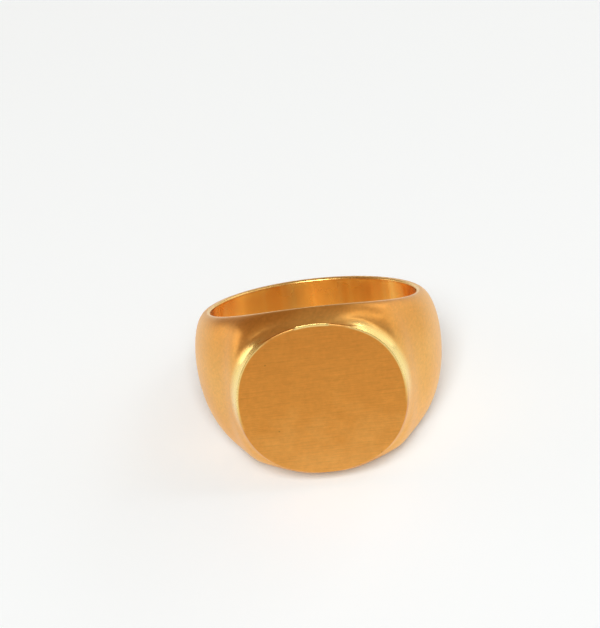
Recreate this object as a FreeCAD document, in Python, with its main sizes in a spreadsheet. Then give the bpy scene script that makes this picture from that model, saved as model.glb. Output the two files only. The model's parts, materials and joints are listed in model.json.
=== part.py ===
import FreeCAD, Part
import math
import os
import Sketcher

# A plain signet ring lying on its side, as it is put down on a table.
#
# Two pieces: the shank (band, shoulders and the head that carries the face) and the signet
# plate, the flat table soldered on the head. Both are drawn in the ring's own axes: the finger
# goes through along Z, the face looks along -Y, and the centre of the bore is the origin. One
# placement then leans them back together, so that the ring rests on the widest part of its
# rim, under the face, and on the narrow back of the band.

# Driving sizes in millimetres; powers, shares and angles are plain numbers.
SIZES = {
    "inner_circumference": 60.0,  # ring size 60: the opening, measured round the inside
    "band_thickness": 1.35,       # wall at the back of the band
    "band_width": 4.9,            # along the finger, at the back of the band
    "rim_flat": 0.28,             # flat edge beside the bore, before the dome begins
    "rim_bevel": 0.12,            # eases the bore's two edges
    "face_rise": 2.1,             # from the bore to the face, at the middle of the head
    "face_length": 15.3,          # across the finger
    "face_height": 14.65,         # along the finger
    "face_fullness": 0.7285,      # 0.7071 gives an ellipse, and more a squarer outline
    "plate_thickness": 0.5,
    "arris_bevel": 0.1,           # eases the edge of the face
    "head_ledge": 0.9,            # how far the rim stands out past the face, along the finger
    "head_swell": 1.0,            # crown of the head over the plate's seat, before it is cut flat
    "head_drop": 0.4,             # crown of the head below the seat, at the face's ends
    "cove_radius": 0.4,           # hollow between the side of the head and the shoulders
    "even_taper": 0.65,           # share of the width that falls evenly from front to back
    "head_taper": 3.3,            # power by which the rest falls away behind the head
    "shoulder_turn": 15.0,        # degrees past the face's end that halve the extra wall
    "shoulder_power": 0.9,        # how sharply the wall falls there
    "bore_allowance": 0.4,        # how far the blank reaches into the bore before it is cut
}

# Where the blank's section is drawn on each side: as shares of the way from the middle of the
# head to the face's end, and then of the way from there to the back of the band.
HEAD_STATIONS = (0.55, 1.0)
SHOULDER_STATIONS = (0.06, 0.14, 0.27, 0.45, 0.64, 0.82)

BORE_RADIUS = "Sizes.inner_circumference / (2 * pi)"
FACE_REACH = "(" + BORE_RADIUS + " + Sizes.face_rise)"
SEAT_REACH = "(" + FACE_REACH + " - Sizes.plate_thickness)"
HEAD_WIDTH = "(Sizes.face_height + 2 * Sizes.head_ledge)"
FACE_END_ANGLE = "(atan(Sizes.face_length / 2 / (" + SEAT_REACH + " - Sizes.head_drop)) / 1 deg)"
BACK_ANGLE = "180"

BEVEL_ANGLE = math.radians(-135)
QUARTER_ROUND = 0.5523  # places a cubic curve's inner poles so that it follows a quarter ellipse
ON_SURFACE = 0.001


def make_sheet(doc):
    """The spreadsheet of driving sizes: an alias and a plain number in each row."""
    sheet = doc.addObject("Spreadsheet::Sheet", "Sizes")
    for row, (alias, value) in enumerate(SIZES.items(), start=1):
        sheet.set("A" + str(row), alias)
        sheet.set("B" + str(row), str(value))
        sheet.setAlias("B" + str(row), alias)
    doc.recompute()
    return sheet


def number(sheet, rule):
    """What a rule comes to now."""
    return float(sheet.evalExpression(rule))


def width_rule(angle):
    """Width of the blank along the finger, at an angle from the face."""
    nearness = "((1 + cos(" + angle + " * 1 deg)) / 2)"
    even = "Sizes.even_taper * " + nearness
    rest = "(1 - Sizes.even_taper) * " + nearness + " ^ Sizes.head_taper"
    return "(Sizes.band_width + (" + HEAD_WIDTH + " - Sizes.band_width) * (" + even + " + " + rest + "))"


def head_station(share):
    """Angle and wall of a section in the head: its crown is a low arch over the seat."""
    across = "({:g} * Sizes.face_length / 2)".format(share)
    sink = "(Sizes.head_swell + Sizes.head_drop) * {:g}".format(share ** 2)
    crown = "(" + SEAT_REACH + " + Sizes.head_swell - " + sink + ")"
    angle = "(atan(" + across + " / " + crown + ") / 1 deg)"
    wall = "(sqrt(" + across + " ^ 2 + " + crown + " ^ 2) - " + BORE_RADIUS + ")"
    return angle, wall


def shoulder_station(share):
    """Angle and wall of a section behind the head, where the wall thins to the band's."""
    turn = "({:g} * (".format(share) + BACK_ANGLE + " - " + FACE_END_ANGLE + "))"
    angle = "(" + FACE_END_ANGLE + " + " + turn + ")"
    fall = "(1 + (" + turn + " / Sizes.shoulder_turn) ^ Sizes.shoulder_power)"
    ease = "{:g}".format((1 - share ** 3) ** 2)  # brings the extra wall to nothing at the back
    extra = "(" + head_station(1.0)[1] + " - Sizes.band_thickness)"
    wall = "(Sizes.band_thickness + " + ease + " * " + extra + " / " + fall + ")"
    return angle, wall


def new_sketch(body, name, role):
    """A sketch on one of the body's own origin planes."""
    sketch = body.newObject("Sketcher::SketchObject", name)
    plane = next(part for part in body.Origin.OriginFeatures if part.Role == role)
    sketch.AttachmentSupport = (plane, [""])
    sketch.MapMode = "FlatFace"
    return sketch


def constrain(sketch, kind, *where):
    return sketch.addConstraint(Sketcher.Constraint(kind, *where))


def bind(sketch, name, rule, kind, *where):
    """Adds a dimension to a sketch and ties it to the sheet."""
    sketch.renameConstraint(constrain(sketch, kind, *where), name)
    sketch.setExpression("Constraints." + name, rule)


def draw_blank_section(body, sheet, name, station, side):
    """The blank's D section at a station: a dome, flat rims, and bevels that run into the bore."""
    angle_rule, wall_rule = station
    edge_rule = BORE_RADIUS + " + Sizes.rim_flat"
    bevel_rule = BORE_RADIUS + " + Sizes.rim_bevel"
    inner_rule = BORE_RADIUS + " - Sizes.bore_allowance"
    crown_rule = BORE_RADIUS + " + " + wall_rule
    round_rule = edge_rule + " + {:g} * (".format(QUARTER_ROUND) + wall_rule + " - Sizes.rim_flat)"
    shoulder_rule = "{:g} / 2 * ".format(QUARTER_ROUND) + width_rule(angle_rule)
    edge, bevel, inner = (number(sheet, rule) for rule in (edge_rule, bevel_rule, inner_rule))
    crown, round_start = (number(sheet, rule) for rule in (crown_rule, round_rule))
    width, shoulder = (number(sheet, rule) for rule in (width_rule(angle_rule), shoulder_rule))

    sketch = new_sketch(body, name, "XZ_Plane")
    turn_rule = "270 + {:d} * ".format(side) + angle_rule
    turn = FreeCAD.Rotation(FreeCAD.Vector(0, 1, 0), number(sheet, turn_rule))
    sketch.AttachmentOffset = FreeCAD.Placement(FreeCAD.Vector(), turn)
    sketch.setExpression("AttachmentOffset.Rotation.Angle", turn_rule)

    upper = [(edge, width / 2), (bevel, width / 2), (inner, width / 2 - (bevel - inner))]
    corners = [FreeCAD.Vector(x, y, 0) for x, y in upper]
    corners += [FreeCAD.Vector(x, -y, 0) for x, y in reversed(upper)]
    top_rim, top_bevel, inside, low_bevel, low_rim = lines = [
        sketch.addGeometry(Part.LineSegment(start, end)) for start, end in zip(corners, corners[1:])
    ]
    over = [(edge, width / 2), (round_start, width / 2), (crown, shoulder)]
    poles = [FreeCAD.Vector(x, -y, 0) for x, y in over]
    poles += [FreeCAD.Vector(crown, 0, 0)]
    poles += [FreeCAD.Vector(x, y, 0) for x, y in reversed(over)]
    curve = Part.BSplineCurve()
    curve.buildFromPolesMultsKnots(poles, [4, 3, 4], [0, 1, 2], False, 3)
    dome = sketch.addGeometry(curve)
    sketch.exposeInternalGeometry(dome)
    low_end, low_round, low_shoulder, top, top_shoulder, top_round, top_end = range(dome + 1, dome + 8)

    chain = [dome] + lines + [dome]
    for line, following in zip(chain, chain[1:]):
        constrain(sketch, "Coincident", line, 2, following, 1)
    constrain(sketch, "Horizontal", top_rim)
    constrain(sketch, "Symmetric", top_rim, 1, low_rim, 2, -1)
    constrain(sketch, "Symmetric", top_rim, 2, low_rim, 1, -1)
    constrain(sketch, "Symmetric", inside, 1, inside, 2, -1)
    constrain(sketch, "PointOnObject", top, 3, -1)
    constrain(sketch, "Vertical", top, 3, top_shoulder, 3)
    constrain(sketch, "Horizontal", top_end, 3, top_round, 3)
    constrain(sketch, "Symmetric", top_shoulder, 3, low_shoulder, 3, -1)
    constrain(sketch, "Symmetric", top_round, 3, low_round, 3, -1)
    bind(sketch, "width", width_rule(angle_rule), "DistanceY", low_rim, 2, top_rim, 1, width)
    bind(sketch, "edge", edge_rule, "DistanceX", -1, 1, top_rim, 1, edge)
    bind(sketch, "bevel", bevel_rule, "DistanceX", -1, 1, top_rim, 2, bevel)
    bind(sketch, "inner", inner_rule, "DistanceX", -1, 1, inside, 1, inner)
    bind(sketch, "crown", crown_rule, "DistanceX", -1, 1, top, 3, crown)
    bind(sketch, "round_start", round_rule, "DistanceX", -1, 1, top_round, 3, round_start)
    bind(sketch, "shoulder", shoulder_rule, "DistanceY", -1, 1, top_shoulder, 3, shoulder)
    constrain(sketch, "Angle", top_bevel, BEVEL_ANGLE)
    return sketch


def draw_face_outline(body, sheet, name, reach_rule):
    """The outline of the face, one smooth closed curve, on a plane that looks along -Y."""
    corner_share = "(6 * Sizes.face_fullness - 1.5) / 3.5"
    corner_x_rule = "Sizes.face_length / 2 * " + corner_share
    corner_y_rule = "Sizes.face_height / 2 * " + corner_share
    end_rule = "0.75 * Sizes.face_length - 0.5 * " + corner_x_rule
    top_rule = "0.75 * Sizes.face_height - 0.5 * " + corner_y_rule
    corner_x, corner_y, end, top = (
        number(sheet, rule) for rule in (corner_x_rule, corner_y_rule, end_rule, top_rule)
    )

    sketch = new_sketch(body, name, "XZ_Plane")
    sketch.setExpression("AttachmentOffset.Base.z", reach_rule)
    poles = [
        (end, 0), (corner_x, corner_y), (0, top), (-corner_x, corner_y),
        (-end, 0), (-corner_x, -corner_y), (0, -top), (corner_x, -corner_y),
    ]
    knots = range(len(poles) + 1)
    curve = Part.BSplineCurve()
    curve.buildFromPolesMultsKnots(
        [FreeCAD.Vector(x, y, 0) for x, y in poles], [1] * len(knots), list(knots), True, 3
    )
    outline = sketch.addGeometry(curve)
    sketch.exposeInternalGeometry(outline)
    east, north_east, north, north_west, west, south_west, south, south_east = range(1, 9)
    constrain(sketch, "PointOnObject", east, 3, -1)
    constrain(sketch, "PointOnObject", north, 3, -2)
    bind(sketch, "end", end_rule, "DistanceX", -1, 1, east, 3, end)
    bind(sketch, "top", top_rule, "DistanceY", -1, 1, north, 3, top)
    bind(sketch, "corner_x", corner_x_rule, "DistanceX", -1, 1, north_east, 3, corner_x)
    bind(sketch, "corner_y", corner_y_rule, "DistanceY", -1, 1, north_east, 3, corner_y)
    constrain(sketch, "Symmetric", east, 3, west, 3, -1, 1)
    constrain(sketch, "Symmetric", north, 3, south, 3, -1, 1)
    constrain(sketch, "Symmetric", north_east, 3, south_west, 3, -1, 1)
    constrain(sketch, "Symmetric", north_east, 3, north_west, 3, -2)
    constrain(sketch, "Symmetric", north_east, 3, south_east, 3, -1)
    return sketch


def draw_circle(body, name, radius_rule, radius):
    sketch = new_sketch(body, name, "XY_Plane")
    circle = sketch.addGeometry(Part.Circle(FreeCAD.Vector(), FreeCAD.Vector(0, 0, 1), radius))
    constrain(sketch, "Coincident", circle, 3, -1, 1)
    bind(sketch, "radius", radius_rule, "Radius", circle, radius)
    return sketch


def draw_square(body, name, reach_rule, half_rule, half):
    """A centred square on a plane that looks along -Y."""
    sketch = new_sketch(body, name, "XZ_Plane")
    sketch.setExpression("AttachmentOffset.Base.z", reach_rule)
    corners = [(half, half), (-half, half), (-half, -half), (half, -half), (half, half)]
    corners = [FreeCAD.Vector(x, y, 0) for x, y in corners]
    sides = [
        sketch.addGeometry(Part.LineSegment(start, end)) for start, end in zip(corners, corners[1:])
    ]
    for side, following in zip(sides, sides[1:] + sides[:1]):
        constrain(sketch, "Coincident", side, 2, following, 1)
    for side, kind in zip(sides, ("Horizontal", "Vertical", "Horizontal", "Vertical")):
        constrain(sketch, kind, side)
    constrain(sketch, "Equal", sides[0], sides[1])
    constrain(sketch, "Symmetric", sides[0], 1, sides[2], 1, -1, 1)
    bind(sketch, "side", "2 * " + half_rule, "Distance", sides[0], 2 * half)
    return sketch


def middle(edge):
    return edge.valueAt((edge.FirstParameter + edge.LastParameter) / 2)


def edge_names(shape, test):
    return ["Edge" + str(place) for place, edge in enumerate(shape.Edges, start=1) if test(edge)]


def treat_edges(body, kind, name, base, test, rule):
    """A fillet or chamfer on the edges of a feature that pass a test, sized from the sheet."""
    feature = body.newObject("PartDesign::" + kind, name)
    feature.Refine = True
    feature.Base = (base, edge_names(base.Shape, test))
    feature.setExpression({"Fillet": "Radius", "Chamfer": "Size"}[kind], rule)
    return feature


def make_shank(doc, sheet):
    body = doc.addObject("PartDesign::Body", "shank")
    body.Label = "shank"
    bore_radius = number(sheet, BORE_RADIUS)
    seat_reach = number(sheet, SEAT_REACH)

    front = head_station(0.0)
    back = (BACK_ANGLE, "Sizes.band_thickness")
    stations = [head_station(share) for share in HEAD_STATIONS]
    stations += [shoulder_station(share) for share in SHOULDER_STATIONS]
    places = list(enumerate(stations, start=1))
    sections = [draw_blank_section(body, sheet, "back_section", back, 1)]
    for place, station in reversed(places):
        sections.append(draw_blank_section(body, sheet, "left_section_" + str(place), station, -1))
    sections.append(draw_blank_section(body, sheet, "front_section", front, 1))
    for place, station in places:
        sections.append(draw_blank_section(body, sheet, "right_section_" + str(place), station, 1))
    blank = body.newObject("PartDesign::AdditiveLoft", "blank")
    blank.Profile = sections[0]
    blank.Sections = sections[1:]
    blank.Closed = True
    blank.Refine = True

    flat = body.newObject("PartDesign::Pocket", "plate_seat")
    flat.Profile = draw_square(body, "seat_square", SEAT_REACH, HEAD_WIDTH, number(sheet, HEAD_WIDTH))
    flat.Reversed = True
    flat.Refine = True
    flat.setExpression("Length", HEAD_WIDTH)

    head = body.newObject("PartDesign::Pad", "head")
    head.Profile = draw_face_outline(body, sheet, "head_outline", SEAT_REACH)
    head.Reversed = True
    head.Refine = True
    head.setExpression("Length", "Sizes.face_rise - Sizes.plate_thickness + Sizes.bore_allowance / 2")
    doc.recompute()

    def on_head_wall(edge):
        """The closed crease where the head's side runs into the shoulders."""
        if isinstance(edge.Curve, Part.Line) or middle(edge).y < ON_SURFACE - seat_reach:
            return False
        walls = [face for face in head.Shape.Faces if isinstance(face.Surface, Part.SurfaceOfExtrusion)]
        return any(edge.isSame(other) for face in walls for other in face.Edges)

    treat_edges(body, "Fillet", "cove", head, on_head_wall, "Sizes.cove_radius")

    bore = body.newObject("PartDesign::Pocket", "finger_bore")
    bore.Profile = draw_circle(body, "bore_circle", BORE_RADIUS, bore_radius)
    bore.Type = "ThroughAll"
    bore.Midplane = True
    bore.Refine = True
    return body


def make_plate(doc, sheet):
    body = doc.addObject("PartDesign::Body", "signet_plate")
    body.Label = "signet_plate"
    face_reach = number(sheet, FACE_REACH)

    plate = body.newObject("PartDesign::Pad", "plate")
    plate.Profile = draw_face_outline(body, sheet, "plate_outline", SEAT_REACH)
    plate.Refine = True
    plate.setExpression("Length", "Sizes.plate_thickness")
    doc.recompute()

    def on_arris(edge):
        return abs(middle(edge).y + face_reach) < ON_SURFACE

    treat_edges(body, "Chamfer", "arris", plate, on_arris, "Sizes.arris_bevel")
    return body


def lean_angle(sheet):
    """The lean, in degrees, at which the front rim and the back of the band touch one floor."""
    bore_radius = number(sheet, BORE_RADIUS)
    rim_bevel = number(sheet, "Sizes.rim_bevel")
    rim_flat = number(sheet, "Sizes.rim_flat")
    front_half = number(sheet, HEAD_WIDTH) / 2
    back_half = number(sheet, "Sizes.band_width") / 2
    back_dome = number(sheet, "Sizes.band_thickness") - rim_flat

    def front_over_back(lean):
        sine, cosine = math.sin(lean), math.cos(lean)
        front = (bore_radius + rim_bevel) * sine - front_half * cosine
        back = -(bore_radius + rim_flat) * sine - math.hypot(back_dome * sine, back_half * cosine)
        return front - back

    low, high = 0.0, math.pi / 4
    for _ in range(50):
        lean = (low + high) / 2
        if front_over_back(lean) < 0:
            low = lean
        else:
            high = lean
    return math.degrees(lean)


def check(doc, bodies):
    """Stops the build if any object failed or any piece is not one valid solid."""
    for item in doc.Objects:
        if "Invalid" in item.State or "Error" in item.State:
            raise RuntimeError(item.Name + " failed")
    for body in bodies:
        shape = body.Shape
        if shape.isNull() or not shape.isValid() or len(shape.Solids) != 1:
            raise RuntimeError(body.Label + " is not one valid solid")


def main():
    doc = FreeCAD.newDocument("signet_ring")
    sheet = make_sheet(doc)
    bodies = [make_shank(doc, sheet), make_plate(doc, sheet)]
    lean = FreeCAD.Rotation(FreeCAD.Vector(1, 0, 0), -lean_angle(sheet))
    for body in bodies:
        body.Placement = FreeCAD.Placement(FreeCAD.Vector(), lean)
    doc.recompute()
    check(doc, bodies)
    os.makedirs("parts", exist_ok=True)
    for body in bodies:
        body.Shape.exportStep("parts/" + body.Label + ".step")


main()
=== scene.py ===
"""A plain gold signet ring, lying on its side on a pale floor."""
import json
import math

import bmesh
import bpy
import numpy as np
from mathutils import Matrix, Vector


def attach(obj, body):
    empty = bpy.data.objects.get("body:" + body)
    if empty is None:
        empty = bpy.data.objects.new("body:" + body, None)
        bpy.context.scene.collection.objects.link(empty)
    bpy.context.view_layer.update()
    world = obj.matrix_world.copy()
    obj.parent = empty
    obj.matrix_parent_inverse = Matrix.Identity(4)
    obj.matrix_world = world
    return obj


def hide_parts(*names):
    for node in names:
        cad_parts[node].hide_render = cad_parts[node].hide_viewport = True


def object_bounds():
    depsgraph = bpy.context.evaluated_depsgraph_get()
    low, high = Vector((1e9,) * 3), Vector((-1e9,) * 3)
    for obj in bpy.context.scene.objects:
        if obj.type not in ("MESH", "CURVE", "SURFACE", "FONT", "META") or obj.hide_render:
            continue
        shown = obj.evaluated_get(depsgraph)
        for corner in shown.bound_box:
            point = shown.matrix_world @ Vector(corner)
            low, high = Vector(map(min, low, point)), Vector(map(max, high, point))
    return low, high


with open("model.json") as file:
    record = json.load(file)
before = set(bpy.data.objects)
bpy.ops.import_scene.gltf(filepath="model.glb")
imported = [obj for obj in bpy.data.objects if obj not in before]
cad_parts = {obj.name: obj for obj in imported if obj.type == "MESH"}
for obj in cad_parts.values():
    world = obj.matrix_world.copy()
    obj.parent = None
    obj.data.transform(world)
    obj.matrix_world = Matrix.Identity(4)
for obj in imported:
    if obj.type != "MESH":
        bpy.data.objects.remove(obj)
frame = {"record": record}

MM = 0.001
CAD_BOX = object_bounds()

# The ring's own axes: the finger goes through along Z, the face looks along -Y. Millimetres.
BORE = 9.549
BAND_WALL = 1.35
BAND_WIDTH = 4.9
RIM = 0.28
RIM_ROUND = 0.17
FACE_Y = 11.649
SEAT_Y = 11.149
FACE_HALF_X = 7.65
FACE_HALF_Z = 7.325
FULLNESS = 0.7285
HEAD_WIDTH = 16.45
HEAD_SWELL = 1.0
HEAD_DROP = 0.4
EVEN_TAPER = 0.65
HEAD_TAPER = 3.3
SHOULDER_TURN = 15.0
SHOULDER_POWER = 0.9
STATIONS_IN_HEAD = (0.0, 0.55, 1.0)
STATIONS_BEHIND = (0.06, 0.14, 0.27, 0.45, 0.64, 0.82)


def climb(value, start, over):
    """0 up to start, and from there up to 1."""
    return np.clip((value - start) / over, 0, 1)


def window(value, start, end, rise, fall):
    """1 between start and end, and 0 outside; it comes up over rise and goes down over fall."""
    return climb(value, start, rise) * climb(-value, -end, fall)


# ---------------------------------------------------------------- shape of the shank

def head_radius(share):
    """Angle and radius of the crown in the head, as a share of the way to the face's end."""
    across = share * FACE_HALF_X
    crown = SEAT_Y + HEAD_SWELL - (HEAD_SWELL + HEAD_DROP) * share ** 2
    return math.atan2(across, crown), math.hypot(across, crown)


def crown_knots():
    """Angles and radii all round the shank that the crown runs through."""
    knots = [head_radius(share) for share in STATIONS_IN_HEAD]
    end_angle, end_radius = knots[-1]
    for share in STATIONS_BEHIND:
        turn = share * (math.pi - end_angle)
        fall = 1 + (math.degrees(turn) / SHOULDER_TURN) ** SHOULDER_POWER
        extra = (1 - share ** 3) ** 2 * (end_radius - BORE - BAND_WALL) / fall
        knots.append((end_angle + turn, BORE + BAND_WALL + extra))
    knots.append((math.pi, BORE + BAND_WALL))
    mirrored = [(-angle, radius) for angle, radius in reversed(knots[1:])]
    return np.array(mirrored + knots)


def periodic_spline(knots):
    """Second derivatives of the smooth closed curve through (angle, radius) knots."""
    angle, radius = knots[:, 0], knots[:, 1]
    step = np.diff(angle)
    count = len(step)
    matrix, rhs = np.zeros((count, count)), np.zeros(count)
    for i in range(count):
        before, after = step[i - 1], step[i]
        matrix[i, (i - 1) % count] += before
        matrix[i, i] += 2 * (before + after)
        matrix[i, (i + 1) % count] += after
        rise = (radius[i + 1] - radius[i]) / after
        fall = (radius[i] - radius[i - 1 if i else count - 1]) / before
        rhs[i] = 6 * (rise - fall)
    bend = np.linalg.solve(matrix, rhs)
    return np.append(bend, bend[0])


KNOTS = crown_knots()
BEND = periodic_spline(KNOTS)


def crown(angle):
    """Outer radius of the shank over the middle of its width."""
    angle = (np.asarray(angle, float) + math.pi) % (2 * math.pi) - math.pi
    place = np.clip(np.searchsorted(KNOTS[:, 0], angle) - 1, 0, len(KNOTS) - 2)
    x0, x1 = KNOTS[place, 0], KNOTS[place + 1, 0]
    y0, y1 = KNOTS[place, 1], KNOTS[place + 1, 1]
    m0, m1 = BEND[place], BEND[place + 1]
    h = x1 - x0
    a, b = (x1 - angle) / h, (angle - x0) / h
    return a * y0 + b * y1 + ((a ** 3 - a) * m0 + (b ** 3 - b) * m1) * h * h / 6


def width(angle):
    """The shank's width along the finger."""
    near = (1 + np.cos(angle)) / 2
    taper = EVEN_TAPER * near + (1 - EVEN_TAPER) * near ** HEAD_TAPER
    return BAND_WIDTH + (HEAD_WIDTH - BAND_WIDTH) * taper


def dome(angle, lean):
    """Points on the shank's outside; lean runs from -pi/2 at the low rim to pi/2 at the top one."""
    edge = BORE + RIM
    radius = edge + (crown(angle) - edge) * np.cos(lean)
    z = width(angle) / 2 * np.sin(lean)
    return np.stack([radius * np.sin(angle), -radius * np.cos(angle), z], -1)


# ---------------------------------------------------------------- shape of the face

def face_outline(turn):
    """The outline of the face and its outward normal; turn runs round from +X to +Z.

    It is a closed B-spline with 8 poles, set so that it goes through the four ends of the
    face, and at the corners through FULLNESS of its half sizes.
    """
    corner = (6 * FULLNESS - 1.5) / 3.5
    corner_x, corner_z = FACE_HALF_X * corner, FACE_HALF_Z * corner
    end, top = 1.5 * FACE_HALF_X - 0.5 * corner_x, 1.5 * FACE_HALF_Z - 0.5 * corner_z
    poles = np.array([
        (end, 0), (corner_x, corner_z), (0, top), (-corner_x, corner_z),
        (-end, 0), (-corner_x, -corner_z), (0, -top), (corner_x, -corner_z),
    ])
    along = (np.asarray(turn, float) / (2 * math.pi) * 8) % 8
    start = np.floor(along).astype(int)
    t = (along - start)[..., None]
    p = [poles[(start + shift) % 8] for shift in (-1, 0, 1, 2)]
    point = ((1 - t) ** 3 * p[0] + (3 * t ** 3 - 6 * t ** 2 + 4) * p[1]
             + (-3 * t ** 3 + 3 * t ** 2 + 3 * t + 1) * p[2] + t ** 3 * p[3]) / 6
    along_it = (-(1 - t) ** 2 * p[0] + (3 * t ** 2 - 4 * t) * p[1]
                + (-3 * t ** 2 + 2 * t + 1) * p[2] + t ** 2 * p[3]) / 2
    along_it /= np.linalg.norm(along_it, axis=-1, keepdims=True)
    return point, np.stack([along_it[..., 1], -along_it[..., 0]], -1)


def on_dome(x, z):
    """Angle and lean of the point of the dome that lies behind (x, z) of the face's plane."""
    angle = np.arctan2(x, SEAT_Y)
    edge = BORE + RIM
    for _ in range(60):
        lean = np.arcsin(np.clip(2 * z / width(angle), -1, 1))
        radius = edge + (crown(angle) - edge) * np.cos(lean)
        angle = 0.5 * angle + 0.5 * np.arcsin(np.clip(x / radius, -1, 1))
    return angle, lean


# ---------------------------------------------------------------- meshes

LEAN = Vector(next(m for m in frame["record"]["mounts"] if m["name"] == "finger_bore")["axis"])
TO_FRAME = np.array([[1, 0, 0], [0, LEAN.z, LEAN.y], [0, -LEAN.y, LEAN.z]])


class Builder:
    """Collects patches of points into one mesh; shared edges are welded at the end."""

    def __init__(self):
        self.points, self.quads, self.zones, self.count = [], [], [], 0
        # Tones: polish, which also paints a pale highlight, and painted shade above the face.
        self.tones = {"shine": [], "deep": []}

    def patch(self, grid, zone=0, closed=False, **tones):
        """A grid of points, rows by columns, whose zone is its material's place on the piece.

        Closed joins the last column to the first, and each tone gives every point a value.
        """
        rows, columns = grid.shape[:2]
        index = np.arange(rows * columns).reshape(rows, columns) + self.count
        if closed:
            index = np.concatenate([index, index[:, :1]], 1)
        quads = np.stack([index[:-1, :-1], index[:-1, 1:], index[1:, 1:], index[1:, :-1]], -1)
        quads = quads.reshape(-1, 4)
        self.points.append(grid.reshape(-1, 3))
        self.quads.append(quads)
        self.zones.append(np.full(len(quads), zone))
        for name, values in self.tones.items():
            values.append(np.ravel(tones[name]) if name in tones else np.zeros(rows * columns))
        self.count += rows * columns

    def mesh(self, name):
        """The patches as one smooth mesh in metres, in the frame's own axes."""
        points = np.concatenate(self.points) @ TO_FRAME.T * MM
        quads = np.concatenate(self.quads)
        mesh = bpy.data.meshes.new(name)
        mesh.from_pydata(points.tolist(), [], quads.tolist())
        mesh.polygons.foreach_set("material_index", np.concatenate(self.zones).astype(np.int32))
        for tone_name, values in self.tones.items():
            layer = mesh.attributes.new(tone_name, "FLOAT", "POINT")
            layer.data.foreach_set("value", np.concatenate(values))
        work = bmesh.new()
        work.from_mesh(mesh)
        bmesh.ops.remove_doubles(work, verts=work.verts, dist=1e-7)
        bmesh.ops.recalc_face_normals(work, faces=work.faces)
        for face in work.faces:
            face.smooth = True
        work.to_mesh(mesh)
        work.free()
        add_turn_map(mesh)
        return mesh


TURN_MAP = "round_the_bore"


def add_turn_map(mesh):
    """A UV map that runs round the bore and along the finger, which the polish follows."""
    places = np.zeros(len(mesh.vertices) * 3)
    mesh.vertices.foreach_get("co", places)
    places = places.reshape(-1, 3) @ TO_FRAME
    corner = np.zeros(len(mesh.loops), int)
    mesh.loops.foreach_get("vertex_index", corner)
    start = np.zeros(len(mesh.polygons), int)
    mesh.polygons.foreach_get("loop_start", start)
    size = np.zeros(len(mesh.polygons), int)
    mesh.polygons.foreach_get("loop_total", size)
    angle = np.arctan2(places[corner, 0], -places[corner, 1])
    first = np.repeat(angle[start], size)
    angle = first + (angle - first + math.pi) % (2 * math.pi) - math.pi
    layer = mesh.uv_layers.new(name=TURN_MAP)
    layer.data.foreach_set("uv", np.stack([angle, places[corner, 2] / BORE / MM], -1).ravel())


def new_piece(name, mesh, node, slot, *materials):
    """A piece of the visual model, which rides on the ring in place of a CAD node."""
    piece = bpy.data.objects.new(name, mesh)
    bpy.context.scene.collection.objects.link(piece)
    for material in materials:
        mesh.materials.append(material)
    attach(piece, "root")
    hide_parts(node)


SIDE = math.radians(78)       # where the grid round the face hands over to the plain band
CORNER = math.radians(42)     # the turn on the face's outline that a corner of the grid goes to
ACROSS, UP = 96, 72           # its cells along the rims and along the sides
OUT = 56                      # and from the face to the band
BACK = 180                    # the plain band's cells round the ring
ROUNDING = 8                  # cells over the rounded edge of the bore
ALONG_BORE = 40


def patch_edge():
    """The closed path round the patch that holds the face, in angle and lean."""
    half = math.pi / 2
    top = [(SIDE * (1 - 2 * i / ACROSS), half) for i in range(ACROSS)]
    left = [(-SIDE, half * (1 - 2 * i / UP)) for i in range(UP)]
    low = [(-SIDE * (1 - 2 * i / ACROSS), -half) for i in range(ACROSS)]
    right = [(SIDE, -half * (1 - 2 * i / UP)) for i in range(UP)]
    return np.array(top + left + low + right)


def outline_turns():
    """Turns round the outline that match the patch's edge, corner to corner."""
    top = np.linspace(CORNER, math.pi - CORNER, ACROSS, endpoint=False)
    left = np.linspace(math.pi - CORNER, math.pi + CORNER, UP, endpoint=False)
    low = np.linspace(math.pi + CORNER, 2 * math.pi - CORNER, ACROSS, endpoint=False)
    right = np.linspace(2 * math.pi - CORNER, 2 * math.pi + CORNER, UP, endpoint=False)
    return np.concatenate([top, left, low, right])


# ---------------------------------------------------------------- finish round the face
# A turn goes round the outline of the face: 0 at its right end, 90 degrees over the top.

PLATE_FOOT = 0.14                    # how far the plate's foot stands out from its face at its ends
PLATE_FOOT_BURIED = 0.03             # and where the shank hides it
PLATE_BURY = 0.4                     # how far up the plate's side the shank comes there
COVE_REACH = 0.6
COVE_POWER = 2.0
ARRIS = 0.1
# How much polish, which also paints a pale highlight, the rims and the face's top arris get.
RIM_POLISH_AND_HIGHLIGHT = 0.4
TOP_ARRIS_POLISH_AND_HIGHLIGHT = 0.3
BURR_OUT, BEAD_OUT = 0.1, 0.16
BURR_LIFT = 0.25                     # how far it rises, as a share of how far it stands out
BURR_WAVE = (0.12, 0.9, 2.3)         # its depth, and two waves in radians for a degree of turn
BORE_RIPPLES = ((0.03, 11, 0.6), (0.012, 23, 2.0))    # depth, waves round the bore, phase
SEAT_INSIDE = 0.6                    # the seat is left open inside this share of the outline

BURIED_TOP = (58, 134, 14, 14)       # windows in degrees of turn
# Where the polish, which also paints a pale highlight, goes round the face.
BUFFED_HIGHLIGHT_RIGHT = (-12, 70, 24, 10)
BUFFED_HIGHLIGHT_LEFT = (121, 200, 12, 22)
BURR = (79, 101, 3, 2)
BEAD_TURN, BEAD_SPREAD = 101, 1.1

STEEP = (0.78, 0.2)                  # climbs with the sine of the turn
TOP_ARRIS = (0.75, 0.25)
SHADE_ABOVE_UP = (0.1, 0.5)
BUFFED_HIGHLIGHT_OUT = (0.05, 0.4)             # climbs with the distance from the plate's foot
SHADE_ABOVE_OUT = (0.3, 0.8)
SHADE_ABOVE_FADE = 0.4                    # the painted shade above the face fades over this angle before the plain band

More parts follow.
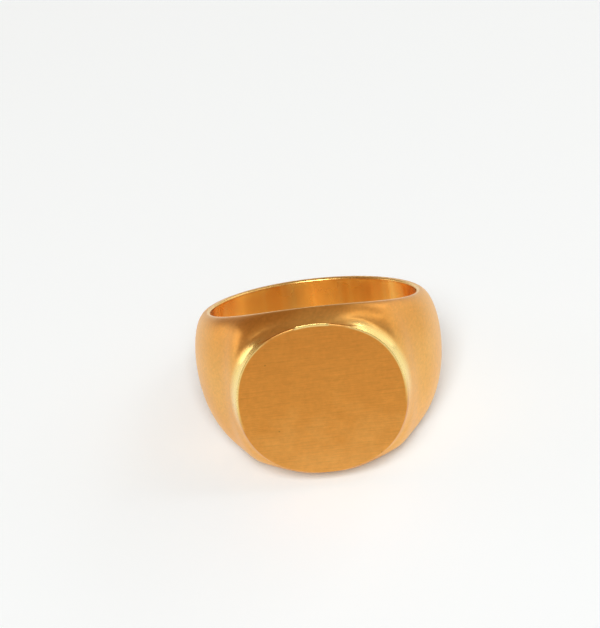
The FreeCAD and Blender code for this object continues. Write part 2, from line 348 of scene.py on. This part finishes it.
GRADING = 1.9                        # the rows of cells crowd towards the face by this power
SIDE_ROWS, ARRIS_ROWS, FACE_ROWS = 6, 6, 59
BURR_ROW, BURR_ROWS = 7, 2.2         # the plate's row that the burr is on, and how far it spreads


def steepness(turn):
    """1 over the top and under the bottom of the face, where the metal runs straight to the rim."""
    return climb(np.abs(np.sin(turn)), *STEEP) ** 2


def burial(turn):
    """1 where the shank comes up the plate's side, over the top and under the bottom."""
    top = window(np.degrees(turn) % 360, *BURIED_TOP)
    return np.maximum(top * top * (3 - 2 * top), steepness(turn))


def plate_foot(turn):
    """How far the foot of the plate stands out from the outline of its face."""
    return PLATE_FOOT + (PLATE_FOOT_BURIED - PLATE_FOOT) * burial(turn)


def buffed_and_highlighted(turn):
    """1 where the corner round the face is polished and painted with a pale highlight: at its two ends,
    and not over the top.
    """
    degrees = (np.degrees(turn) + 90) % 360 - 90
    return window(degrees, *BUFFED_HIGHLIGHT_RIGHT) + window(degrees, *BUFFED_HIGHLIGHT_LEFT)


def burr(turn):
    """How far the burr over the top of the face stands out: a low ridge with a bead at its end."""
    degrees = np.degrees(turn)
    depth, slow, quick = BURR_WAVE
    wave = 1 - depth + depth * np.sin(degrees * slow) * np.sin(degrees * quick)
    bead = np.exp(-((degrees - BEAD_TURN) / BEAD_SPREAD) ** 2)
    return BURR_OUT * wave * window(degrees, *BURR) + BEAD_OUT * bead


def around_face():
    """The outside between the plate's foot and the plain band, with its polish, which also paints a pale
    highlight, and its painted shade above the face.
    """
    turn = outline_turns()
    outline, normal = face_outline(turn)
    foot = outline + normal * plate_foot(turn)[:, None]
    angle0, lean0 = on_dome(foot[:, 0], foot[:, 1])
    path = patch_edge()
    share = np.linspace(0, 1, OUT + 1) ** GRADING
    angle = angle0 + (path[:, 0] - angle0) * share[:, None]
    lean = lean0 + (path[:, 1] - lean0) * share[:, None]
    grid = dome(angle, lean)
    away = np.linalg.norm(grid[..., [0, 2]] - foot, axis=-1)
    gap = SEAT_Y + grid[0, :, 1] + PLATE_BURY * burial(turn)
    grid[..., 1] -= gap * (1 - np.clip(away / COVE_REACH, 0, 1)) ** COVE_POWER
    line = grid[0, :, 1] + (grid[-1, :, 1] - grid[0, :, 1]) * away / away[-1]
    grid[..., 1] += steepness(turn) * (line - grid[..., 1])
    # The polish on the corner round the face, which also paints a pale highlight on it.
    corner = (1 - climb(away, *BUFFED_HIGHLIGHT_OUT)) * buffed_and_highlighted(turn)
    # Painted shade: a darker gold painted on the slope above the face, away from the plate's foot.
    shade_above_face = climb(np.sin(turn), *SHADE_ABOVE_UP) * climb(away, *SHADE_ABOVE_OUT)
    shade_above_face = shade_above_face * climb(-np.abs(angle), -SIDE, SHADE_ABOVE_FADE)
    return grid, corner, shade_above_face


def build_shank():
    """The outside, the rims, the bore and the seat under the plate."""
    build = Builder()
    head, corner, shade_above_face = around_face()
    # The head carries the polish with its painted highlight, and the painted shade above the face.
    build.patch(head, closed=True, shine=corner, deep=shade_above_face)

    lean = np.array([math.pi / 2 * (1 - 2 * i / UP) for i in range(UP + 1)])
    back = np.linspace(SIDE, 2 * math.pi - SIDE, BACK + 1)
    build.patch(dome(back[None, :], lean[:, None]))

    front = np.array([SIDE * (1 - 2 * i / ACROSS) for i in range(ACROSS + 1)])[::-1]
    full = np.concatenate([front, back[1:-1]])
    rounding = np.linspace(0, math.pi / 2, ROUNDING + 1)
    top = [(BORE + RIM, 0.0), (BORE + (RIM + RIM_ROUND) / 2, 0.0)]
    top += [(BORE + RIM_ROUND * (1 - math.sin(a)), RIM_ROUND * (1 - math.cos(a))) for a in rounding]
    half = width(full) / 2
    rows = [np.stack([np.full_like(full, r), half - drop], -1) for r, drop in top]
    ripple = sum(depth * (1 - np.sin(waves * full + phase)) for depth, waves, phase in BORE_RIPPLES)
    bore_rows = [np.stack([BORE + ripple * (1 - s ** 8), (half - RIM_ROUND) * s], -1)
                 for s in np.linspace(1, -1, ALONG_BORE + 1)]
    low = [np.stack([r[:, 0], -r[:, 1]], -1) for r in reversed(rows)]

    def place(profile):
        profile = np.array(profile)
        r, z = profile[..., 0], profile[..., 1]
        return np.stack([r * np.sin(full), -r * np.cos(full), z], -1)

    # The rims are polished and painted with a pale highlight.
    rims_polished_and_highlighted = np.full((len(rows), len(full)), RIM_POLISH_AND_HIGHLIGHT)
    build.patch(place(rows), closed=True, shine=rims_polished_and_highlighted)
    build.patch(place(bore_rows), zone=1, closed=True)
    build.patch(place(low), closed=True, shine=rims_polished_and_highlighted)

    turn = outline_turns()
    outline, normal = face_outline(turn)
    foot = outline + normal * plate_foot(turn)[:, None]
    inward = np.linspace(1, SEAT_INSIDE, 4)[:, None, None] * foot
    seat = np.stack([inward[..., 0], np.full(inward.shape[:2], -SEAT_Y), inward[..., 1]], -1)
    build.patch(np.concatenate([head[:1], seat]), closed=True)
    return build.mesh("shank")


def build_plate():
    """The side, the rounded arris with its burr, and the flat face."""
    build = Builder()
    turn = outline_turns()
    outline, normal = face_outline(turn)
    side = FACE_Y - SEAT_Y - ARRIS
    rows = [(plate_foot(turn) * (1 - up / side), up) for up in np.linspace(0, side, SIDE_ROWS)]
    quarter = np.linspace(0, math.pi / 2, ARRIS_ROWS + 1)[1:]
    rows += [(-ARRIS * (1 - math.cos(a)), side + ARRIS * math.sin(a)) for a in quarter]
    grid = []
    for row, (shift, up) in enumerate(rows):
        ridge = burr(turn) * math.exp(-((row - BURR_ROW) / BURR_ROWS) ** 2)
        xz = outline + normal * (shift + ridge)[:, None]
        grid.append(np.stack([xz[:, 0], -SEAT_Y - up - BURR_LIFT * ridge, xz[:, 1]], -1))
    edge = outline - normal * ARRIS
    for share in np.linspace(1, 0, FACE_ROWS + 1)[1:]:
        xz = edge * share
        grid.append(np.stack([xz[:, 0], np.full(len(xz), -FACE_Y), xz[:, 1]], -1))
    grid = np.array(grid)
    # The plate's polish, which also paints a pale highlight: on its polished ends, the burr and the arris
    # over the top.
    rounded = np.zeros(grid.shape[:2])
    rounded[:len(rows)] = np.clip(buffed_and_highlighted(turn) + burr(turn) / BURR_OUT, 0, 1)
    top_arris_polished_and_highlighted = TOP_ARRIS_POLISH_AND_HIGHLIGHT * climb(np.sin(turn), *TOP_ARRIS)
    rounded[SIDE_ROWS:len(rows)] = np.clip(rounded[SIDE_ROWS:len(rows)] + top_arris_polished_and_highlighted, 0, 1)
    build.patch(grid, closed=True, shine=rounded)
    return build.mesh("signet_plate")


# ---------------------------------------------------------------- materials

class Nodes:
    """A few short words for building a node tree."""

    def __init__(self, tree):
        self.tree = tree
        tree.nodes.clear()

    def add(self, kind, **values):
        node = self.tree.nodes.new(kind)
        for key, value in values.items():
            setattr(node, key, value)
        return node

    def link(self, source, target):
        self.tree.links.new(source, target)


def new_material(name):
    """A metal, its nodes and its shader."""
    material = bpy.data.materials.new(name)
    material.use_nodes = True
    nodes = Nodes(material.node_tree)
    shader = nodes.add("ShaderNodeBsdfPrincipled")
    output = nodes.add("ShaderNodeOutputMaterial")
    nodes.link(shader.outputs["BSDF"], output.inputs["Surface"])
    shader.inputs["Metallic"].default_value = 1.0
    return material, nodes, shader


def noise(nodes, scale, vector, detail=2.0, rough=0.5):
    node = nodes.add("ShaderNodeTexNoise")
    node.inputs["Scale"].default_value = scale
    node.inputs["Detail"].default_value = detail
    node.inputs["Roughness"].default_value = rough
    nodes.link(vector, node.inputs["Vector"])
    return node.outputs["Fac"]


def ramp(nodes, value, *stops):
    """A colour ramp; each stop is a place and a colour or a grey."""
    node = nodes.add("ShaderNodeValToRGB")
    elements = node.color_ramp.elements
    while len(elements) < len(stops):
        elements.new(0.5)
    for element, (place, colour) in zip(elements, stops):
        element.position = place
        element.color = (*colour, 1) if isinstance(colour, tuple) else (colour, colour, colour, 1)
    nodes.link(value, node.inputs["Fac"])
    return node.outputs["Color"]


def spread(nodes, value, low, high, start=0.0, end=1.0):
    """Maps start to low and end to high."""
    node = nodes.add("ShaderNodeMapRange")
    node.inputs["From Min"].default_value = start
    node.inputs["From Max"].default_value = end
    node.inputs["To Min"].default_value = low
    node.inputs["To Max"].default_value = high
    nodes.link(value, node.inputs["Value"])
    return node.outputs["Result"]


def mix(nodes, kind, share, plain, toned, blend="MIX"):
    """Goes from plain to toned as share goes from 0 to 1; each is a socket, a number or a colour."""
    node = nodes.add("ShaderNodeMix", data_type=kind, blend_type=blend)
    for name, value in (("Factor", share), ("A", plain), ("B", toned)):
        if isinstance(value, bpy.types.NodeSocket):
            nodes.link(value, node.inputs[name])
        else:
            node.inputs[name].default_value = (*value, 1) if isinstance(value, tuple) else value
    return node.outputs["Result"]


def times(nodes, colour, other):
    return mix(nodes, "RGBA", 1, colour, other, "MULTIPLY")


def tone(nodes, name):
    """One of the mesh's tones: its polish, which also paints a pale highlight, or its painted shade."""
    return nodes.add("ShaderNodeAttribute", attribute_name=name).outputs["Fac"]


def stretched(nodes, scale, slant=0.0):
    """A place in the ring's own axes, turned by slant about the face's axis and then stretched."""
    place = nodes.add("ShaderNodeTexCoord")
    turn = nodes.add("ShaderNodeMapping")
    turn.vector_type = "POINT"
    turn.inputs["Rotation"].default_value = (math.atan2(LEAN.y, LEAN.z), 0, 0)
    size = nodes.add("ShaderNodeMapping")
    size.inputs["Scale"].default_value = scale
    nodes.link(place.outputs["Object"], turn.inputs["Vector"])
    if slant:
        aslant = nodes.add("ShaderNodeMapping")
        aslant.inputs["Rotation"].default_value = (0, slant, 0)
        nodes.link(turn.outputs["Vector"], aslant.inputs["Vector"])
        turn = aslant
    nodes.link(turn.outputs["Vector"], size.inputs["Vector"])
    return size.outputs["Vector"]


def bump(nodes, shader, height, strength, distance):
    node = nodes.add("ShaderNodeBump")
    node.inputs["Strength"].default_value = strength
    node.inputs["Distance"].default_value = distance
    nodes.link(height, node.inputs["Height"])
    nodes.link(node.outputs["Normal"], shader.inputs["Normal"])


# Pale gold painted where the metal is polished: a painted highlight.
PAINTED_HIGHLIGHT_GOLD = (1.0, 0.76, 0.28)
SATIN_GOLD = ((0.84, 0.44, 0.11), (0.9, 0.5, 0.14))
# The darker gold of the painted shade above the face.
SHADE_ABOVE_GOLD = ((0.76, 0.35, 0.07), (0.82, 0.39, 0.09))
# The bore's deep gold, and the pale gold of its painted reflection streaks.
BORE_GOLD_AND_PAINTED_STREAKS = ((0.9, 0.38, 0.05), (0.97, 0.5, 0.085), (1.0, 0.66, 0.17))
# The face's gold from shaded to lit; a random cloud and the painted shade from top to bottom pick between
# them.
FACE_GOLD_AND_PAINTED_SHADE = ((0.66, 0.26, 0.045), (0.72, 0.3, 0.055), (0.84, 0.41, 0.1))


def satin_gold():
    """The outside: matt, with fine grain and a few scratches, and polished where it shines; the polish
    also paints a pale highlight, and a painted shade darkens the slope above the face.
    """
    material, nodes, shader = new_material("satin_gold")
    cloud = noise(nodes, 220, stretched(nodes, (1, 1, 1)), 3)
    worn = ramp(nodes, cloud, *zip((0.3, 0.7), SATIN_GOLD))
    shade_above_face = ramp(nodes, cloud, *zip((0.3, 0.7), SHADE_ABOVE_GOLD))
    fleck = noise(nodes, 2600, stretched(nodes, (1, 1, 1.6), 0.5), 4, 0.7)
    # Painted shade: the darker gold is mixed in above the face.
    matt_with_painted_shade = mix(nodes, "RGBA", tone(nodes, "deep"), worn, shade_above_face)
    matt_with_painted_shade = times(nodes, matt_with_painted_shade, ramp(nodes, fleck, (0.3, 0.9), (0.7, 1.08)))
    shine = tone(nodes, "shine")
    # Painted highlight: pale gold where the metal is polished.
    nodes.link(mix(nodes, "RGBA", shine, matt_with_painted_shade, PAINTED_HIGHLIGHT_GOLD), shader.inputs["Base Color"])
    finish = mix(nodes, "FLOAT", shine, spread(nodes, fleck, 0.32, 0.44), 0.12)
    nodes.link(finish, shader.inputs["Roughness"])
    grain = noise(nodes, 5200, stretched(nodes, (1, 1, 0.5)), 3, 0.6)
    scratch = noise(nodes, 260, stretched(nodes, (9, 9, 1), 0.6), 3, 0.7)
    scratches = ramp(nodes, scratch, (0.6, 1.0), (0.63, 0.0), (0.66, 1.0))
    bump(nodes, shader, mix(nodes, "FLOAT", 0.3, grain, scratches), 0.45, 0.00002)
    return material


def polished_gold():
    """The bore: polished, with pale painted reflection streaks that run along the finger, at random places
    round it.
    """
    material, nodes, shader = new_material("polished_gold")
    cloud = noise(nodes, 160, stretched(nodes, (1, 1, 1)), 3)
    round_it = nodes.add("ShaderNodeUVMap", uv_map=TURN_MAP)
    across = nodes.add("ShaderNodeMapping")
    across.inputs["Scale"].default_value = (1, 0.03, 1)
    nodes.link(round_it.outputs["UV"], across.inputs["Vector"])
    # Painted reflections: pale streaks along the finger, at random places round the bore.
    painted_reflection_streaks = noise(nodes, 2.5, across.outputs["Vector"], 3, 0.6)
    colour = ramp(nodes, painted_reflection_streaks, *zip((0.36, 0.52, 0.68), BORE_GOLD_AND_PAINTED_STREAKS))
    nodes.link(colour, shader.inputs["Base Color"])
    nodes.link(spread(nodes, cloud, 0.24, 0.3), shader.inputs["Roughness"])
    shader.inputs["Anisotropic"].default_value = 0.95
    shader.inputs["Anisotropic Rotation"].default_value = 0.25
    tangent = nodes.add("ShaderNodeTangent", direction_type="UV_MAP", uv_map=TURN_MAP)
    nodes.link(tangent.outputs["Tangent"], shader.inputs["Tangent"])
    return material


def brushed_gold():
    """The face: brushed from side to side, with painted shade that makes it darker towards its top, and
    with a few tiny pits; a painted pale highlight goes where its edge is polished.
    """
    material, nodes, shader = new_material("brushed_gold")
    place = stretched(nodes, (1, 1, 1))
    cloud = noise(nodes, 330, place, 6, 0.65)
    lines = noise(nodes, 420, stretched(nodes, (1, 20, 20)), 6, 0.72)
    split = nodes.add("ShaderNodeSeparateXYZ")
    nodes.link(place, split.inputs["Vector"])
    # Painted shade: the face is painted darker towards its top and lighter towards its bottom.
    down = spread(nodes, split.outputs["Z"], 0, 1, 0.006, -0.008)
    matt_with_painted_shade = ramp(nodes, mix(nodes, "FLOAT", 0.55, cloud, down), *zip((0.2, 0.5, 0.8), FACE_GOLD_AND_PAINTED_SHADE))
    fleck = noise(nodes, 2300, place, 4, 0.7)
    drawn = times(nodes, matt_with_painted_shade, ramp(nodes, lines, (0.3, 0.86), (0.5, 0.98), (0.7, 1.07)))
    drawn = times(nodes, drawn, ramp(nodes, fleck, (0.3, 0.93), (0.7, 1.06)))
    flat = nodes.add("ShaderNodeCombineXYZ")
    nodes.link(split.outputs["X"], flat.inputs["X"])
    nodes.link(split.outputs["Z"], flat.inputs["Y"])
    cells = nodes.add("ShaderNodeTexVoronoi", voronoi_dimensions="2D")
    cells.inputs["Scale"].default_value = 125
    nodes.link(flat.outputs["Vector"], cells.inputs["Vector"])
    pitted = times(nodes, drawn, ramp(nodes, cells.outputs["Distance"], (0.003, 0.6), (0.013, 1.0)))
    shine = tone(nodes, "shine")
    # Painted highlight: pale gold where the plate's edge is polished.
    nodes.link(mix(nodes, "RGBA", shine, pitted, PAINTED_HIGHLIGHT_GOLD), shader.inputs["Base Color"])
    finish = mix(nodes, "FLOAT", shine, spread(nodes, lines, 0.3, 0.46), 0.25)
    nodes.link(finish, shader.inputs["Roughness"])
    bump(nodes, shader, lines, 0.5, 0.00003)
    return material


# ---------------------------------------------------------------- stage

FLOOR_HALF = 1.5
FLOOR_PAPER = (0.83, 0.91, 0.965, 1)
FLOOR_GLOW = (0.9, 1.0, 1.14, 1)
FLOOR_LIFT = 0.08


def build_floor(level):
    """Pale paper, a little paler to the camera and in reflections than the lamps make it."""
    mesh = bpy.data.meshes.new("floor")
    corners = [(x * FLOOR_HALF, y * FLOOR_HALF, level) for x, y in ((-1, -1), (1, -1), (1, 1), (-1, 1))]
    mesh.from_pydata(corners, [], [(0, 1, 2, 3)])
    floor = bpy.data.objects.new("floor", mesh)
    bpy.context.scene.collection.objects.link(floor)
    material = bpy.data.materials.new("floor_paper")
    material.use_nodes = True
    nodes = Nodes(material.node_tree)
    paper = nodes.add("ShaderNodeBsdfDiffuse")
    paper.inputs["Color"].default_value = FLOOR_PAPER
    glow = nodes.add("ShaderNodeEmission")
    glow.inputs["Color"].default_value = FLOOR_GLOW
    glow.inputs["Strength"].default_value = FLOOR_LIFT
    both = nodes.add("ShaderNodeAddShader")
    nodes.link(paper.outputs["BSDF"], both.inputs[0])
    nodes.link(glow.outputs["Emission"], both.inputs[1])
    path = nodes.add("ShaderNodeLightPath")
    seen = nodes.add("ShaderNodeMath", operation="MAXIMUM")
    nodes.link(path.outputs["Is Camera Ray"], seen.inputs[0])
    nodes.link(path.outputs["Is Glossy Ray"], seen.inputs[1])
    pick = nodes.add("ShaderNodeMixShader")
    nodes.link(seen.outputs["Value"], pick.inputs["Fac"])
    nodes.link(paper.outputs["BSDF"], pick.inputs[1])
    nodes.link(both.outputs["Shader"], pick.inputs[2])
    output = nodes.add("ShaderNodeOutputMaterial")
    nodes.link(pick.outputs["Shader"], output.inputs["Surface"])
    mesh.materials.append(material)


def add_area(name, azimuth, rise, distance, size, level):
    """A softbox that looks at the ring; level is how bright its front is, 1 being white."""
    azimuth, rise = math.radians(azimuth), math.radians(rise)
    place = (distance * math.sin(azimuth) * math.cos(rise), -distance * math.cos(azimuth) * math.cos(rise),
             distance * math.sin(rise))
    data = bpy.data.lights.new(name, "AREA")
    data.shape = "RECTANGLE"
    data.size, data.size_y = size
    data.energy = level * math.pi * size[0] * size[1]
    lamp = bpy.data.objects.new(name, data)
    lamp.location = place
    lamp.rotation_euler = (-Vector(place)).to_track_quat("-Z", "Y").to_euler()
    lamp.visible_camera = False
    bpy.context.scene.collection.objects.link(lamp)


def light_world():
    """A plain room: palest round the horizon, dim and warm overhead, and dimmer on the left."""
    world = bpy.data.worlds.new("studio")
    bpy.context.scene.world = world
    world.use_nodes = True
    nodes = Nodes(world.node_tree)
    place = nodes.add("ShaderNodeTexCoord")
    split = nodes.add("ShaderNodeSeparateXYZ")
    nodes.link(place.outputs["Generated"], split.inputs["Vector"])
    height = ramp(nodes, split.outputs["Z"], (0.0, (0.55, 0.53, 0.51)), (0.15, (0.5, 0.455, 0.41)),
                  (0.4, (0.41, 0.31, 0.22)), (1.0, (0.38, 0.28, 0.19)))
    across = spread(nodes, split.outputs["X"], 0, 1, -1, 1)
    side = ramp(nodes, across, (0.2, (0.75, 0.62, 0.5)), (0.5, 0.95), (0.9, (0.95, 1.05, 1.2)))
    light = nodes.add("ShaderNodeBackground")
    nodes.link(times(nodes, height, side), light.inputs["Color"])
    output = nodes.add("ShaderNodeOutputWorld")
    nodes.link(light.outputs["Background"], output.inputs["Surface"])


CAMERA_YAW, CAMERA_RISE, CAMERA_ROLL = (math.radians(a) for a in (1.12, 24.64, -6.68))
CAMERA_DISTANCE = 0.280
CAMERA_ASIDE, CAMERA_ABOVE = -0.001695, 0.002864    # where it aims, off the middle of the bore
CAMERA_LENS = 173.13


def set_camera():
    """The camera looks down on the ring from in front; its angles are in the ring's own axes."""
    yaw, rise, roll = CAMERA_YAW, CAMERA_RISE, CAMERA_ROLL
    back = np.array([math.sin(yaw) * math.cos(rise), -math.cos(yaw) * math.cos(rise), math.sin(rise)])
    right = np.array([math.cos(yaw), math.sin(yaw), 0.0])
    up = np.cross(back, right)
    right, up = right * math.cos(roll) + up * math.sin(roll), up * math.cos(roll) - right * math.sin(roll)
    back, right, up = (TO_FRAME @ axis for axis in (back, right, up))
    place = back * CAMERA_DISTANCE
    look = place - (right * CAMERA_ASIDE + up * CAMERA_ABOVE)
    look /= np.linalg.norm(look)
    right -= look * (right @ look)
    right /= np.linalg.norm(right)
    up = np.cross(look, right)
    data = bpy.data.cameras.new("camera")
    data.lens = CAMERA_LENS
    data.clip_start, data.clip_end = 0.01, 10
    camera = bpy.data.objects.new("camera", data)
    rows = [[*row, at] for row, at in zip(np.stack([right, up, look], 1), place)]
    camera.matrix_world = Matrix(rows + [[0, 0, 0, 1]])
    bpy.context.scene.collection.objects.link(camera)
    bpy.context.scene.camera = camera


# ---------------------------------------------------------------- the scene

satin, polished, brushed = satin_gold(), polished_gold(), brushed_gold()
new_piece("shank_body", build_shank(), "shank", "satin_gold", satin, polished)
new_piece("signet_face", build_plate(), "signet_plate", "brushed_gold", brushed)
build_floor(CAD_BOX[0][2])
light_world()
add_area("front_softbox", azimuth=-5, rise=55, distance=1.0, size=(0.5, 0.5), level=9.6)
add_area("right_softbox", azimuth=114, rise=20, distance=0.6, size=(0.55, 0.4), level=0.66)
add_area("right_window", azimuth=102, rise=50, distance=0.6, size=(0.14, 0.2), level=2.3)
add_area("back_window", azimuth=146, rise=24, distance=0.6, size=(0.14, 0.2), level=1.9)
add_area("left_window", azimuth=-106, rise=11, distance=0.6, size=(0.28, 0.25), level=1.4)
set_camera()
bpy.context.scene.view_settings.view_transform = "Standard"
